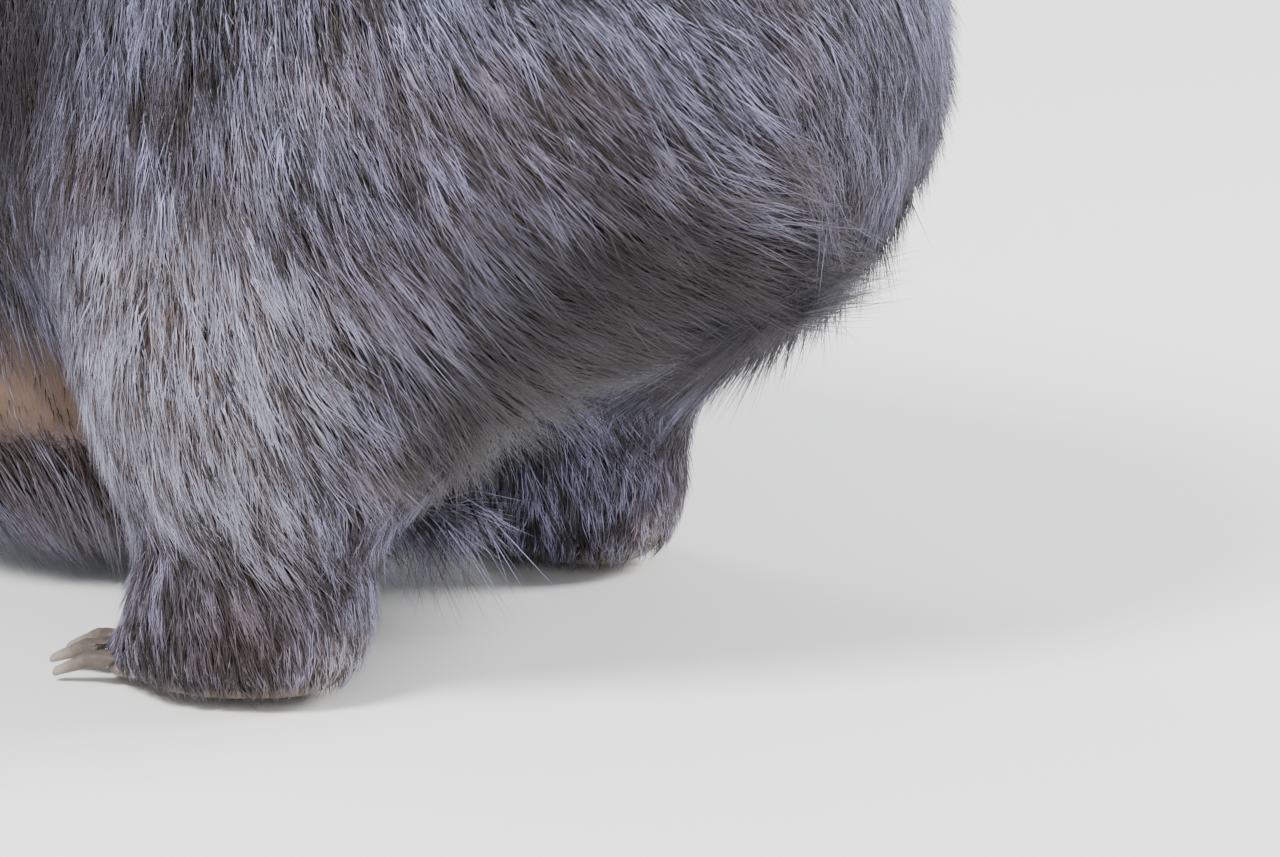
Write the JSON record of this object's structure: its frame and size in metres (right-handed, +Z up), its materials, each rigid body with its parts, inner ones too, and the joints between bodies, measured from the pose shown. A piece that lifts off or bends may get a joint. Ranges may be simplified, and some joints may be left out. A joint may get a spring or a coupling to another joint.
{
  "type": "wombat",
  "caption": "Life-size still model of a standing female wombat: stout body, short legs, bare nose, upright ears, long claws and a low pouch.",
  "frame": {"origin": "on the floor, under the middle of the whole animal", "axes": "+Z up, the animal faces -Y, its left side is +X"},
  "size_m": [0.366, 0.9742, 0.3905],
  "materials": {
    "coat": "coarse grey-brown fur with silvery tips",
    "belly": "thin-haired soft skin",
    "nose": "bare pebbled skin",
    "eye": "wet and glossy",
    "horn": "worn claw"
  },
  "bodies": {
    "root": {"torso": "coat", "neck": "coat", "tail": "coat", "hindleg_left": "coat", "hindfoot_left": "coat", "hindfoot_left_claw_1": "horn", "hindfoot_left_claw_2": "horn", "hindfoot_left_claw_3": "horn", "hindfoot_left_claw_4": "horn", "hindleg_right": "coat", "hindfoot_right": "coat", "hindfoot_right_claw_1": "horn", "hindfoot_right_claw_2": "horn", "hindfoot_right_claw_3": "horn", "hindfoot_right_claw_4": "horn", "foreleg_left": "coat", "forepaw_left": "coat", "forepaw_left_claw_1": "horn", "forepaw_left_claw_2": "horn", "forepaw_left_claw_3": "horn", "forepaw_left_claw_4": "horn", "forepaw_left_claw_5": "horn", "foreleg_right": "coat", "forepaw_right": "coat", "forepaw_right_claw_1": "horn", "forepaw_right_claw_2": "horn", "forepaw_right_claw_3": "horn", "forepaw_right_claw_4": "horn", "forepaw_right_claw_5": "horn", "pouch": "belly", "head": "coat", "nose": "nose", "eye_left": "eye", "ear_left": "coat", "eye_right": "eye", "ear_right": "coat"}
  },
  "joints": []
}
